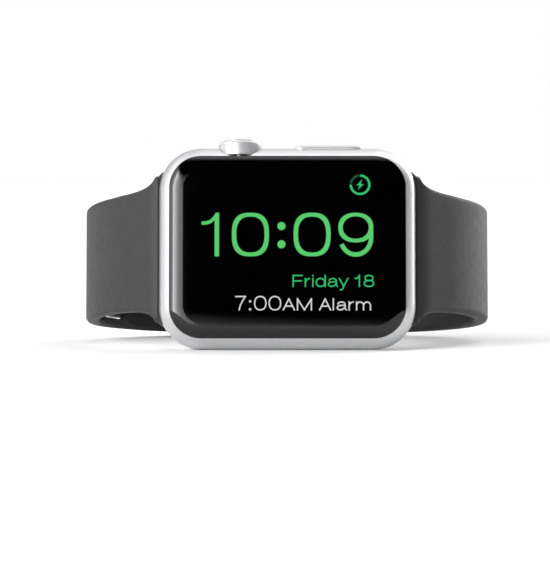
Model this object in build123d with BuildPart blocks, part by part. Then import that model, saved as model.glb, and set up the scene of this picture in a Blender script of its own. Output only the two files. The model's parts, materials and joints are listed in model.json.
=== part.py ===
from build123d import *
import math
import os

# A smartwatch standing on its side, crown up, with its band closed behind it.
#
# Everything is modelled upright first: X runs along the case from its 12 o'clock end (-X) to its
# 6 o'clock end (+X), +Z is the crown side and the screen faces -Y. The last step leans the watch back
# until the case and the rear of the band both touch the ground, and puts the ground at z = 0.

# ---------------------------------------------------------------- driving dimensions, millimetres
CASE_LENGTH = 42.5  # X
CASE_WIDTH = 33.4  # Z
CASE_CORNER = 7.0
CASE_FRONT = -4.4  # Y of the front plane, which the cover glass shares
CASE_BACK = 4.0
CASE_ROUND = 4.0  # radius of the rounded sides
WALL_CLEAR = 0.05

GLASS_INSET = 1.7  # from the case's ends
GLASS_INSET_SIDES = 1.55
GLASS_THICK = 1.5
GASKET_THICK = 0.26
GASKET_WIDTH = 1.1

CAVITY_LENGTH = 34.2
CAVITY_WIDTH = 27.0
CAVITY_CORNER = 3.0
CAVITY_FRONT = -2.6
CAVITY_BACK = 2.9

CROWN_X = -7.9
CROWN_Y = -0.2
CROWN_RADIUS = 3.55
CROWN_BASE = 15.5
CROWN_TOP = 18.1
CROWN_TRAVEL = 0.35
CROWN_SHAFT_RADIUS = 1.2
CROWN_SHAFT_BOTTOM = 11.2
CROWN_CAP_RADIUS = 2.72
BUSHING_RADIUS = 2.1
BUSHING_FLANGE_RADIUS = 2.4
CROWN_KNURLS = 72

BUTTON_X = 6.7
BUTTON_Y = -0.2
BUTTON_LENGTH = 11.3
BUTTON_WIDTH = 3.0
BUTTON_BASE = 15.1
BUTTON_POCKET_FLOOR = 14.7
BUTTON_TOP = 17.2
STEM_APART = 3.5  # each of the button's stems from its middle
STEM_RADIUS = 0.7
BRACKET_SCREW_APART = 5.4

SLOT_X = 19.35
SLOT_Y = 0.4
SLOT_RADIUS = 1.3
SLOT_MOUTH = 1.9
LUG_CLEAR = 0.06
LUG_LENGTH = 25.6

RELEASE_X = 15.9

BACK_OPENING_LENGTH = 28.6
BACK_OPENING_WIDTH = 25.0
CRYSTAL_RADIUS = 9.6
DOME_RADIUS = 11.4
DOME_TOP = 4.9
CRYSTAL_TOP = 5.5

STRAP_THICK = 2.4
STRAP_OVERLAP_THICK = 1.9
STRAP_LUG_WIDTH = 25.2
STRAP_WIDTH = 19.6
STRAP_EDGE = 0.7
STRAP_END_CORNER = 6
TAIL_WIDTH = 15.4
TAIL_SLOT_WIDTH = 16.2
STRAP_SIDE_X = 33.6  # centre of the strap where it runs straight back
STRAP_REAR_Y = 52.0  # centre of the long strap at its rearmost point
HOLE_COUNT = 7
HOLE_PITCH = 6.6
HOLE_LENGTH = 4.2
HOLE_WIDTH = 2.6
STUD_STEM_RADIUS = 1.1
STUD_HEAD_RADIUS = 1.9
WASHER_RADIUS = 3.2
WASHER_THICK = 0.48

os.makedirs("parts", exist_ok=True)


def at_depth(y):
    """The plane facing the screen side at depth y, with X to the right and Z up."""
    return Plane.XZ.offset(-y)


# ---------------------------------------------------------------- how the watch stands
def stance_location():
    """Leans the watch back on the line that touches the case's rounded side and the band's rear."""
    case_y, case_z = CASE_BACK - CASE_ROUND, -CASE_WIDTH / 2 + CASE_ROUND
    strap_y = STRAP_REAR_Y + STRAP_THICK / 2 - STRAP_EDGE
    strap_z = -STRAP_WIDTH / 2 + STRAP_EDGE
    reach = math.hypot(strap_y - case_y, strap_z - case_z)
    lean = math.atan2(strap_z - case_z, strap_y - case_y)
    lean += math.asin((CASE_ROUND - STRAP_EDGE) / reach)
    low = case_z * math.cos(lean) - case_y * math.sin(lean) - CASE_ROUND
    return Location((0, 0, -low), (-math.degrees(lean), 0, 0)), math.degrees(lean)


LEANED, LEAN = stance_location()


# ---------------------------------------------------------------- case
with BuildPart() as outer_form:
    with BuildSketch(at_depth(CASE_BACK)):
        RectangleRounded(CASE_LENGTH, CASE_WIDTH, CASE_CORNER)
    extrude(amount=CASE_BACK - CASE_FRONT)
    fillet(outer_form.edges().group_by(Axis.Y)[0], radius=CASE_ROUND)
    fillet(outer_form.faces().sort_by(Axis.Y)[-1].edges(), radius=CASE_ROUND)

GLASS_LENGTH = CASE_LENGTH - 2 * GLASS_INSET
GLASS_WIDTH = CASE_WIDTH - 2 * GLASS_INSET_SIDES
GLASS_CORNER = CASE_CORNER - GLASS_INSET
GLASS_BACK = CASE_FRONT + GLASS_THICK
SPEAKER_X = 7.2
MICROPHONE_X = 0.1
SPEAKER_SLOT_LENGTH = 5.2
SPEAKER_SLOT_WIDTH = 1.1

with BuildPart() as case_housing:
    add(outer_form.part)
    with BuildSketch(at_depth(CAVITY_FRONT)):
        RectangleRounded(GLASS_LENGTH, GLASS_WIDTH, GLASS_CORNER)
    extrude(amount=3.0, mode=Mode.SUBTRACT)
    with BuildSketch(at_depth(CAVITY_BACK)):
        RectangleRounded(CAVITY_LENGTH, CAVITY_WIDTH, CAVITY_CORNER)
    extrude(amount=CAVITY_BACK - CAVITY_FRONT, mode=Mode.SUBTRACT)
    with BuildSketch(at_depth(CASE_BACK)):
        RectangleRounded(BACK_OPENING_LENGTH, BACK_OPENING_WIDTH, CAVITY_CORNER)
    extrude(amount=CASE_BACK - CAVITY_BACK + 0.1, mode=Mode.SUBTRACT)
    # Band slots: a round channel along each end, with a narrower mouth to the outside.
    for side in (-1, 1):
        with BuildSketch(Plane.XY):
            with Locations((side * SLOT_X, SLOT_Y)):
                Circle(SLOT_RADIUS)
            with Locations((side * (SLOT_X + 2), SLOT_Y)):
                Rectangle(4, SLOT_MOUTH)
        extrude(amount=CASE_WIDTH / 2, both=True, mode=Mode.SUBTRACT)
        # Release button hole in the back, and the window its latch reaches the channel through.
        with BuildSketch(at_depth(CASE_BACK)):
            with Locations((side * RELEASE_X, 0)):
                SlotOverall(4.8, 1.8, rotation=90)
        extrude(amount=CASE_BACK - CAVITY_BACK + 0.1, mode=Mode.SUBTRACT)
        with BuildSketch(at_depth(1.5)):
            with Locations((side * 17.6, 0)):
                Rectangle(2.4, 3.2)
        extrude(amount=2.0, mode=Mode.SUBTRACT)
    # Crown: a round seat in the side and a bore for its bushing.
    with BuildSketch(Plane.XY.offset(CROWN_BASE - CROWN_TRAVEL - 0.15)):
        with Locations((CROWN_X, CROWN_Y)):
            Circle(CROWN_RADIUS + 0.2)
    extrude(amount=4, mode=Mode.SUBTRACT)
    with BuildSketch(Plane.XY.offset(CAVITY_WIDTH / 2 - 0.5)):
        with Locations((CROWN_X, CROWN_Y)):
            Circle(BUSHING_RADIUS + 0.02)
    extrude(amount=4, mode=Mode.SUBTRACT)
    # Side button: a pocket for the button and two bores for its stems.
    with BuildSketch(Plane.XY.offset(BUTTON_POCKET_FLOOR)):
        with Locations((BUTTON_X, BUTTON_Y)):
            SlotOverall(BUTTON_LENGTH + 0.16, BUTTON_WIDTH + 0.16)
    extrude(amount=4, mode=Mode.SUBTRACT)
    with BuildSketch(Plane.XY.offset(CAVITY_WIDTH / 2 - 0.5)):
        with Locations((BUTTON_X - STEM_APART, BUTTON_Y), (BUTTON_X + STEM_APART, BUTTON_Y)):
            Circle(STEM_RADIUS + 0.05)
    extrude(amount=3, mode=Mode.SUBTRACT)
    # Speaker slots and microphone hole in the opposite side.
    with BuildSketch(Plane.XY.offset(-CAVITY_WIDTH / 2 + 0.5)):
        with Locations((SPEAKER_X - 3.1, 0), (SPEAKER_X + 3.1, 0)):
            SlotOverall(SPEAKER_SLOT_LENGTH, SPEAKER_SLOT_WIDTH)
        with Locations((MICROPHONE_X, 0)):
            Circle(0.5)
    extrude(amount=-5, mode=Mode.SUBTRACT)

with BuildPart() as cover_glass:
    add(outer_form.part)
    with BuildSketch(at_depth(GLASS_BACK)):
        RectangleRounded(
            GLASS_LENGTH - 2 * WALL_CLEAR, GLASS_WIDTH - 2 * WALL_CLEAR, GLASS_CORNER - WALL_CLEAR
        )
    extrude(amount=GLASS_THICK + 0.5, mode=Mode.INTERSECT)

with BuildPart() as display_gasket:
    with BuildSketch(at_depth(CAVITY_FRONT - 0.02)):
        RectangleRounded(GLASS_LENGTH - 0.4, GLASS_WIDTH - 0.4, GLASS_CORNER - 0.2)
        RectangleRounded(
            GLASS_LENGTH - 0.4 - 2 * GASKET_WIDTH,
            GLASS_WIDTH - 0.4 - 2 * GASKET_WIDTH,
            GLASS_CORNER - 0.2 - GASKET_WIDTH,
            mode=Mode.SUBTRACT,
        )
    extrude(amount=GASKET_THICK)

DISPLAY_LENGTH = 33.6
DISPLAY_WIDTH = 25.2
DISPLAY_FRONT = GLASS_BACK + 0.03
DISPLAY_BACK = DISPLAY_FRONT + 0.75

with BuildPart() as display_panel:
    with BuildSketch(at_depth(DISPLAY_BACK)):
        RectangleRounded(DISPLAY_LENGTH, DISPLAY_WIDTH, 2.4)
    extrude(amount=DISPLAY_BACK - DISPLAY_FRONT)

# ---------------------------------------------------------------- inside the case
BOARD_CENTRE_X = -8.1
BOARD_LENGTH = 13.2
BOARD_WIDTH = 17.2
BOARD_FRONT = 0.8
BOARD_BACK = 1.4
SCREW_INSET = 1.3

with BuildPart() as logic_board:
    with BuildSketch(at_depth(BOARD_BACK)):
        with Locations((BOARD_CENTRE_X, 0)):
            RectangleRounded(BOARD_LENGTH, BOARD_WIDTH, 1.0)
            with GridLocations(BOARD_LENGTH - 2 * SCREW_INSET, BOARD_WIDTH - 2 * SCREW_INSET, 2, 2):
                Circle(0.55, mode=Mode.SUBTRACT)
    extrude(amount=BOARD_BACK - BOARD_FRONT)

with BuildPart() as system_package:
    with BuildSketch(at_depth(BOARD_FRONT - 0.02)):
        with Locations((BOARD_CENTRE_X, 0)):
            RectangleRounded(BOARD_LENGTH - 5.2, BOARD_WIDTH, 0.8)
    extrude(amount=2.3)
    chamfer(system_package.faces().sort_by(Axis.Y)[0].edges(), length=0.25)

with BuildPart() as board_screws:
    with BuildSketch(at_depth(2.2)):
        with Locations((BOARD_CENTRE_X, 0)):
            with GridLocations(BOARD_LENGTH - 2 * SCREW_INSET, BOARD_WIDTH - 2 * SCREW_INSET, 2, 2):
                Circle(0.5)
    extrude(amount=2.2)
    with BuildSketch(at_depth(0.77)):
        with Locations((BOARD_CENTRE_X, 0)):
            with GridLocations(BOARD_LENGTH - 2 * SCREW_INSET, BOARD_WIDTH - 2 * SCREW_INSET, 2, 2):
                Circle(0.95)
    extrude(amount=0.77)

with BuildPart() as battery:
    with BuildSketch(at_depth(2.3)):
        with Locations((7.6, 0.4)):
            RectangleRounded(14.4, 18.6, 1.2)
    extrude(amount=3.9)
    fillet(battery.edges().filter_by(GeomType.LINE).filter_by(Plane.XZ), radius=0.5)

with BuildPart() as battery_flex:
    with BuildSketch(at_depth(1.6)):
        with Locations((-0.35, -3.0)):
            Rectangle(1.3, 4.0)
    extrude(amount=0.15)

with BuildPart() as display_flex:
    with BuildSketch(Plane.YZ.offset(-9.0)):
        with BuildLine() as flex_path:
            flex_lead = Line((DISPLAY_BACK + 0.1, -7.0), (DISPLAY_BACK + 0.1, -8.5))
            flex_bend = JernArc(flex_lead @ 1, flex_lead % 1, radius=0.45, arc_size=90)
            Line(flex_bend @ 1, (1.2, (flex_bend @ 1).Y))
        trace(line_width=0.12)
    extrude(amount=3, both=True)

HAPTIC_X = -8.9
HAPTIC_Z = -11.4
HAPTIC_TRAVEL = 0.4

with BuildPart() as haptic_housing:
    with BuildSketch(at_depth(2.4)):
        with Locations((HAPTIC_X, HAPTIC_Z)):
            RectangleRounded(13.8, 3.6, 0.6)
    extrude(amount=3.9)
    with BuildSketch(at_depth(2.1)):
        with Locations((HAPTIC_X, HAPTIC_Z)):
            Rectangle(13.0, 2.8)
    extrude(amount=3.3, mode=Mode.SUBTRACT)

with BuildPart() as haptic_mass:
    with BuildSketch(at_depth(1.9)):
        with Locations((HAPTIC_X, HAPTIC_Z)):
            RectangleRounded(13.0 - 2 * HAPTIC_TRAVEL - 0.4, 2.4, 0.4)
    extrude(amount=2.9)

with BuildPart() as haptic_screws:
    with BuildSketch(at_depth(2.5)):
        with Locations((HAPTIC_X - 7.45, HAPTIC_Z), (HAPTIC_X + 7.45, HAPTIC_Z)):
            Circle(0.45)
    extrude(amount=2.0)

with BuildPart() as speaker:
    with BuildSketch(at_depth(2.2)):
        with Locations((SPEAKER_X + 0.7, -11.2)):
            RectangleRounded(12.6, 3.6, 0.8)
    extrude(amount=3.8)

with BuildPart() as speaker_mesh:
    with BuildSketch(Plane.XY.offset(-CAVITY_WIDTH / 2 + 0.02)):
        with Locations((SPEAKER_X, 0)):
            SlotOverall(13.0, 1.9)
    extrude(amount=0.2)

with BuildPart() as microphone:
    with BuildSketch(Plane.XY.offset(-13.4)):
        with Locations((MICROPHONE_X, 0)):
            Rectangle(1.1, 1.6)
    extrude(amount=1.2)

# ---------------------------------------------------------------- crown
BUSHING_TOP = CROWN_BASE - CROWN_TRAVEL - 0.15
FLANGE_TOP = CAVITY_WIDTH / 2 - 0.03
FLANGE_BOTTOM = FLANGE_TOP - 0.6
COLLAR_Z = 11.9

with BuildPart() as crown_bushing:
    with BuildSketch(Plane.XZ.offset(-CROWN_Y)):
        with BuildLine():
            Polyline(
                (CROWN_X + CROWN_SHAFT_RADIUS + 0.05, FLANGE_BOTTOM),
                (CROWN_X + BUSHING_FLANGE_RADIUS, FLANGE_BOTTOM),
                (CROWN_X + BUSHING_FLANGE_RADIUS, FLANGE_TOP),
                (CROWN_X + BUSHING_RADIUS, FLANGE_TOP),
                (CROWN_X + BUSHING_RADIUS, BUSHING_TOP),
                (CROWN_X + CROWN_SHAFT_RADIUS + 0.05, BUSHING_TOP),
                (CROWN_X + CROWN_SHAFT_RADIUS + 0.05, 14.6),
                (CROWN_X + CROWN_SHAFT_RADIUS + 0.5, 14.6),
                (CROWN_X + CROWN_SHAFT_RADIUS + 0.5, 14.0),
                (CROWN_X + CROWN_SHAFT_RADIUS + 0.05, 14.0),
                close=True,
            )
        make_face()
    revolve(axis=Axis((CROWN_X, CROWN_Y, 0), (0, 0, 1)))

with BuildPart() as crown_seal:
    with BuildSketch(Plane.XZ.offset(-CROWN_Y)):
        with Locations((CROWN_X + CROWN_SHAFT_RADIUS + 0.26, 14.3)):
            Circle(0.22)
    revolve(axis=Axis((CROWN_X, CROWN_Y, 0), (0, 0, 1)))

with BuildPart() as crown_shaft:
    # A plain shaft, with a groove that the thrust plate holds it by.
    with BuildSketch(Plane.XY.offset(CROWN_SHAFT_BOTTOM)):
        with Locations((CROWN_X, CROWN_Y)):
            Circle(CROWN_SHAFT_RADIUS)
    extrude(amount=CROWN_BASE + 1.2 - CROWN_SHAFT_BOTTOM)
    with BuildSketch(Plane.XY.offset(COLLAR_Z - 0.25)):
        with Locations((CROWN_X, CROWN_Y)):
            Circle(CROWN_SHAFT_RADIUS + 0.1)
            Circle(0.75, mode=Mode.SUBTRACT)
    extrude(amount=0.5, mode=Mode.SUBTRACT)
    chamfer(crown_shaft.edges().sort_by(Axis.Z)[0], length=0.2)

with BuildPart() as crown_knob:
    with BuildSketch(Plane.XY.offset(CROWN_BASE)):
        with Locations((CROWN_X, CROWN_Y)):
            Circle(CROWN_RADIUS)
    extrude(amount=CROWN_TOP - 0.3 - CROWN_BASE)
    fillet(crown_knob.edges().sort_by(Axis.Z)[-1], radius=0.55)
    with BuildSketch(Plane.XY.offset(CROWN_BASE)):
        with Locations((CROWN_X, CROWN_Y)):
            Circle(CROWN_SHAFT_RADIUS + 0.01)
    extrude(amount=1.25, mode=Mode.SUBTRACT)
    with BuildSketch(Plane.XY.offset(CROWN_TOP - 0.7)):
        with Locations((CROWN_X, CROWN_Y)):
            Circle(CROWN_CAP_RADIUS + 0.03)
    extrude(amount=1, mode=Mode.SUBTRACT)
    with BuildSketch(Plane.XY.offset(CROWN_BASE + 0.4)):
        with Locations((CROWN_X, CROWN_Y)):
            with PolarLocations(CROWN_RADIUS, CROWN_KNURLS):
                Rectangle(0.12, 0.14)
    extrude(amount=1.3, mode=Mode.SUBTRACT)

with BuildPart() as crown_cap:
    with BuildSketch(Plane.XY.offset(CROWN_TOP - 0.69)):
        with Locations((CROWN_X, CROWN_Y)):
            Circle(CROWN_CAP_RADIUS)
    extrude(amount=0.69)
    fillet(crown_cap.edges().sort_by(Axis.Z)[-1], radius=0.25)

with BuildPart() as crown_thrust_plate:
    with BuildSketch(Plane.XY.offset(COLLAR_Z - 0.18)):
        with Locations((CROWN_X, CROWN_Y)):
            RectangleRounded(4.6, 3.4, 0.6)
            Circle(0.85, mode=Mode.SUBTRACT)
            with Locations((0, 1.5)):
                Rectangle(1.7, 3.0, mode=Mode.SUBTRACT)
    extrude(amount=0.36)

with BuildPart() as crown_switch:
    with BuildSketch(Plane.XY.offset(9.4)):
        with Locations((CROWN_X, CROWN_Y + 0.5)):
            RectangleRounded(4.0, 2.4, 0.4)
    extrude(amount=0.8)
    with BuildSketch(Plane.XY.offset(10.2)):
        with Locations((CROWN_X, CROWN_Y)):
            Circle(0.8)
    extrude(amount=0.5)

with BuildPart() as crown_sensor:
    with BuildSketch(Plane.XY.offset(11.0)):
        with Locations((CROWN_X + 4.0, CROWN_Y)):
            RectangleRounded(1.6, 2.6, 0.2)
    extrude(amount=2.2)

# ---------------------------------------------------------------- side button
with BuildPart() as side_button:
    with BuildSketch(Plane.XY.offset(BUTTON_BASE)):
        with Locations((BUTTON_X, BUTTON_Y)):
            SlotOverall(BUTTON_LENGTH, BUTTON_WIDTH)
    extrude(amount=BUTTON_TOP - BUTTON_BASE)
    fillet(side_button.edges().group_by(Axis.Z)[-1], radius=0.5)
    with BuildSketch(Plane.XY.offset(12.2)):
        with Locations((BUTTON_X - STEM_APART, BUTTON_Y), (BUTTON_X + STEM_APART, BUTTON_Y)):
            Circle(STEM_RADIUS)
    extrude(amount=3.0)

with BuildPart() as button_bracket:
    with BuildSketch(Plane.XY.offset(12.85)):
        with Locations((BUTTON_X, BUTTON_Y)):
            RectangleRounded(12.6, 3.2, 0.5)
            with Locations((-STEM_APART, 0), (STEM_APART, 0)):
                Circle(0.9, mode=Mode.SUBTRACT)
            with Locations((-BRACKET_SCREW_APART, 0), (BRACKET_SCREW_APART, 0)):
                Circle(0.45, mode=Mode.SUBTRACT)
    extrude(amount=0.6)

with BuildPart() as bracket_screws:
    with BuildSketch(Plane.XY.offset(12.3)):
        with Locations(
            (BUTTON_X - BRACKET_SCREW_APART, BUTTON_Y), (BUTTON_X + BRACKET_SCREW_APART, BUTTON_Y)
        ):
            Circle(0.7)
    extrude(amount=0.52)
    with BuildSketch(Plane.XY.offset(12.82)):
        with Locations(
            (BUTTON_X - BRACKET_SCREW_APART, BUTTON_Y), (BUTTON_X + BRACKET_SCREW_APART, BUTTON_Y)
        ):
            Circle(0.4)
    extrude(amount=0.62)

with BuildPart() as button_switch:
    with BuildSketch(Plane.XY.offset(10.6)):
        with Locations((BUTTON_X, BUTTON_Y)):
            RectangleRounded(9.0, 2.4, 0.5)
    extrude(amount=0.6)
    with BuildSketch(Plane.XY.offset(11.2)):
        with Locations((BUTTON_X - STEM_APART, BUTTON_Y), (BUTTON_X + STEM_APART, BUTTON_Y)):
            Circle(0.8)
    extrude(amount=0.65)

# ---------------------------------------------------------------- back
with BuildPart() as back_cover:
    with BuildSketch(at_depth(CASE_BACK)):
        RectangleRounded(BACK_OPENING_LENGTH - 0.1, BACK_OPENING_WIDTH - 0.1, CAVITY_CORNER - 0.05)
    extrude(amount=1.0)
    with BuildSketch(at_depth(DOME_TOP)):
        Circle(DOME_RADIUS)
    extrude(amount=DOME_TOP - 3.2)
    fillet(back_cover.edges().sort_by(Axis.Y)[-1], radius=0.8)
    with BuildSketch(at_depth(DOME_TOP)):
        Circle(CRYSTAL_RADIUS + 0.03)
    extrude(amount=DOME_TOP - CAVITY_BACK, mode=Mode.SUBTRACT)

with BuildPart() as back_gasket:
    with BuildSketch(at_depth(2.88)):
        RectangleRounded(BACK_OPENING_LENGTH - 0.4, BACK_OPENING_WIDTH - 0.4, CAVITY_CORNER)
        RectangleRounded(BACK_OPENING_LENGTH - 2.0, BACK_OPENING_WIDTH - 2.0, 2.4, mode=Mode.SUBTRACT)
    extrude(amount=0.2)

with BuildPart() as sensor_crystal:
    with BuildSketch(Plane.XY):
        with BuildLine():
            crystal_dome = ThreePointArc(
                (0, CRYSTAL_TOP),
                (CRYSTAL_RADIUS / 2, CRYSTAL_TOP - 0.14),
                (CRYSTAL_RADIUS, DOME_TOP),
            )
            Polyline(crystal_dome @ 1, (CRYSTAL_RADIUS, 4.1), (0, 4.1), crystal_dome @ 0)
        make_face()
    revolve(axis=Axis.Y)

LENS_CIRCLE = 4.6

with BuildPart() as sensor_board:
    with BuildSketch(at_depth(3.35)):
        Circle(6.6)
        Circle(2.1, mode=Mode.SUBTRACT)
    extrude(amount=0.4)

with BuildPart() as sensor_lenses:
    with BuildSketch(at_depth(4.05)):
        with PolarLocations(LENS_CIRCLE, 4):
            Circle(1.9)
    extrude(amount=0.65)

with BuildPart() as charging_coil:
    with BuildSketch(at_depth(4.0)):
        Circle(9.3)
        Circle(6.9, mode=Mode.SUBTRACT)
    extrude(amount=0.8)

with BuildPart() as alignment_magnet:
    with BuildSketch(at_depth(4.0)):
        Circle(1.8)
    extrude(amount=1.2)

# ---------------------------------------------------------------- band release
LATCH_REACH = 18.32


def build_release(side):
    """A release button in the case back and the latch that it moves, at one end of the case."""
    with BuildPart() as button:
        with BuildSketch(at_depth(CASE_BACK - 0.05)):
            with Locations((side * RELEASE_X, 0)):
                SlotOverall(4.66, 1.66, rotation=90)
        extrude(amount=1.6)
        fillet(button.edges().group_by(Axis.Y)[-1], radius=0.2)
    with BuildPart() as latch:
        with BuildSketch(at_depth(2.34)):
            with Locations((side * (RELEASE_X + 0.1), 0)):
                Rectangle(1.2, 4.4)
        extrude(amount=1.9)
        with BuildSketch(at_depth(0.8)):
            with Locations((side * (LATCH_REACH + RELEASE_X) / 2, 0)):
                Rectangle(LATCH_REACH - RELEASE_X, 2.6)
        extrude(amount=0.36)
    return button, latch


release_button_12, release_latch_12 = build_release(-1)
release_button_6, release_latch_6 = build_release(1)


# ---------------------------------------------------------------- band
LUG_END_X = 21.5


def build_lug_insert(side):
    """The lug on a strap's end, which slides along the case's slot."""
    with BuildPart() as lug:
        with BuildSketch(Plane.XY):
            with Locations((side * SLOT_X, SLOT_Y)):
                Circle(SLOT_RADIUS - LUG_CLEAR)
            with Locations((side * (SLOT_X + LUG_END_X) / 2, SLOT_Y)):
                Rectangle(LUG_END_X - SLOT_X, SLOT_MOUTH - 2 * LUG_CLEAR)
            with Locations((side * (SLOT_X - SLOT_RADIUS), SLOT_Y + 0.1)):
                Rectangle(0.9, 1.4, mode=Mode.SUBTRACT)
        extrude(amount=LUG_LENGTH / 2, both=True)
        far_edges = lug.edges().filter_by(Axis.Y).group_by(Axis.X)[0 if side < 0 else -1]
        chamfer(far_edges, length=0.8)
    return lug


lug_insert_12 = build_lug_insert(-1)
lug_insert_6 = build_lug_insert(1)

# In plan the closed band is a loop, the same on both sides: out of the slot, round the corner of the
# wrist, straight back, and round the rear to the middle. Angles are of its direction, from X.
ROUTE_START_X = 21.0
LEAVE_ANGLE = 26
POINT_SPACING = 2.2  # between the points that the strap faces are drawn through
SLOPE_ANGLE = 52.5
REAR_ANGLE = 60
SHOULDER_RADIUS = 5.0
SLOPE_LENGTH = 5.5
REAR_CORNER_RADIUS = 19.0


def arc_step(radius, angle_from, angle_to):
    """The X and Y travelled on an arc that turns from one direction to another."""
    low, high = math.radians(angle_from), math.radians(angle_to)
    return radius * (math.sin(high) - math.sin(low)), radius * (math.cos(low) - math.cos(high))


shoulder_step = arc_step(SHOULDER_RADIUS, LEAVE_ANGLE, SLOPE_ANGLE)
slope_x = SLOPE_LENGTH * math.cos(math.radians(SLOPE_ANGLE))
flank_radius = (STRAP_SIDE_X - ROUTE_START_X - shoulder_step[0] - slope_x) / (
    1 - math.sin(math.radians(SLOPE_ANGLE))
)
rear_radius = 2 * STRAP_SIDE_X - REAR_CORNER_RADIUS
leave_direction = (math.cos(math.radians(LEAVE_ANGLE)), math.sin(math.radians(LEAVE_ANGLE)))

with BuildLine() as half_loop:
    shoulder = JernArc(
        (ROUTE_START_X, SLOT_Y), leave_direction, SHOULDER_RADIUS, SLOPE_ANGLE - LEAVE_ANGLE
    )
    slope = Line(shoulder @ 1, shoulder @ 1 + (shoulder % 1) * SLOPE_LENGTH)
    flank = JernArc(slope @ 1, slope % 1, flank_radius, 90 - SLOPE_ANGLE)
    corner_y = arc_step(REAR_CORNER_RADIUS, 90, 90 + REAR_ANGLE)[1]
    rear_y = arc_step(rear_radius, 90 + REAR_ANGLE, 180)[1]
    straight = Line(flank @ 1, (STRAP_SIDE_X, STRAP_REAR_Y - corner_y - rear_y))
    corner = JernArc(straight @ 1, straight % 1, REAR_CORNER_RADIUS, REAR_ANGLE)
    JernArc(corner @ 1, corner % 1, rear_radius, 90 - REAR_ANGLE)

half_wire = half_loop.wires()[0]
HALF_LENGTH = half_wire.length

# Distances along the loop, from the 12 o'clock lug: the short strap, its stud and its tuck slot.
SHORT_LENGTH = 62.0
STUD_AT = 56.5
CROSS_START = 36.0
CROSS_END = 45.0
TAIL_END_AT = 20.5
OVERLAP_SHIFT = STRAP_OVERLAP_THICK / 2 + 0.05
TAIL_SHIFT = -(STRAP_THICK / 2 + STRAP_OVERLAP_THICK / 2 + 0.06)


def loop_frame(distance):
    """The point and outward direction of the loop at a distance from the 12 o'clock lug."""
    side = -1 if distance < HALF_LENGTH else 1
    along = distance if distance < HALF_LENGTH else 2 * HALF_LENGTH - distance
    point = half_wire.position_at(along, position_mode=PositionMode.LENGTH)
    tangent = half_wire.tangent_at(along, position_mode=PositionMode.LENGTH)
    return Vector(side * point.X, point.Y), Vector(side * tangent.Y, -tangent.X)


def ease(value, start, end):
    """0 before start, 1 after end, and smooth between them."""
    share = min(1, max(0, (value - start) / (end - start)))
    return share * share * (3 - 2 * share)


def short_offset(distance):
    return -OVERLAP_SHIFT * ease(distance, CROSS_START - 1, CROSS_END + 3)


def short_thickness(distance):
    return STRAP_THICK + (STRAP_OVERLAP_THICK - STRAP_THICK) * ease(distance, 26, CROSS_START + 8)


def long_offset(distance):
    outside = OVERLAP_SHIFT * (1 - ease(distance, SHORT_LENGTH + 2, SHORT_LENGTH + 18))
    return outside + (TAIL_SHIFT - outside) * (1 - ease(distance, CROSS_START, CROSS_END))


def long_thickness(distance):
    return STRAP_OVERLAP_THICK + (STRAP_THICK - STRAP_OVERLAP_THICK) * ease(
        distance, SHORT_LENGTH + 2, SHORT_LENGTH + 24
    )


def strap_faces(start, end, offset_at, thickness_at):
    """The inner and outer rows of points of a strap that follows the loop from start to end."""
    count = math.ceil((end - start) / POINT_SPACING)
    inner, outer = [], []
    for step in range(count + 1):
        distance = start + (end - start) * step / count
        point, outward = loop_frame(distance)
        half = thickness_at(distance) / 2
        inner.append(point + outward * (offset_at(distance) - half))
        outer.append(point + outward * (offset_at(distance) + half))
    return inner, outer


def width_envelope(side, end_width):
    """The space inside a strap's edges: flared at the lug, parallel round the flank and the rear, and
    end_width wide from the far side of the stud on."""
    with BuildPart() as envelope:
        with BuildSketch(at_depth(14)):
            with BuildLine():
                flare = Spline(
                    (side * LUG_END_X, STRAP_LUG_WIDTH / 2 - 0.8),
                    (side * (LUG_END_X + 1.1), 11.0),
                    (side * (LUG_END_X + 3.6), 10.1),
                    (side * (LUG_END_X + 7.5), STRAP_WIDTH / 2),
                    tangents=((side * 0.7, -1), (side, 0)),
                )
                Polyline(
                    flare @ 1,
                    (side * 40, STRAP_WIDTH / 2),
                    (side * 40, 0),
                    (side * LUG_END_X, 0),
                    flare @ 0,
                )
            make_face()
            mirror(about=Plane.XZ)
        extrude(amount=20)
        with BuildSketch(at_depth(60)):
            with BuildLine():
                narrowing = Spline(
                    (-26, end_width / 2), (-18, STRAP_WIDTH / 2), tangents=((1, 0), (1, 0))
                )
                Polyline(
                    narrowing @ 1,
                    (45, STRAP_WIDTH / 2),
                    (45, 0),
                    (-45, 0),
                    (-45, end_width / 2),
                    narrowing @ 0,
                )
            make_face()
            mirror(about=Plane.XZ)
        extrude(amount=46.5)
    return envelope.part


def rim_edges(strap):
    """The long edges of a strap, which run round the wrist."""
    return strap.edges().filter_by(lambda edge: edge.length > 9 and abs(edge.center().Z) > 6)


def end_corners(strap, distance):
    """The two corner edges, through the thickness, at a strap's free end."""
    end_point, _ = loop_frame(distance)
    corners = strap.edges().filter_by(lambda edge: edge.length < 3 and abs(edge.center().Z) > 5)
    return corners.filter_by(
        lambda edge: math.hypot(edge.center().X - end_point.X, edge.center().Y - end_point.Y) < 4
    )


def wrist_plane(distance, offset):
    """A plane on the strap at a distance along the loop, facing outward, with local y along Z."""
    point, outward = loop_frame(distance)
    origin = point + outward * offset
    return Plane(origin=origin, x_dir=outward.cross(Vector(0, 0, 1)) * -1, z_dir=outward)


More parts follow.
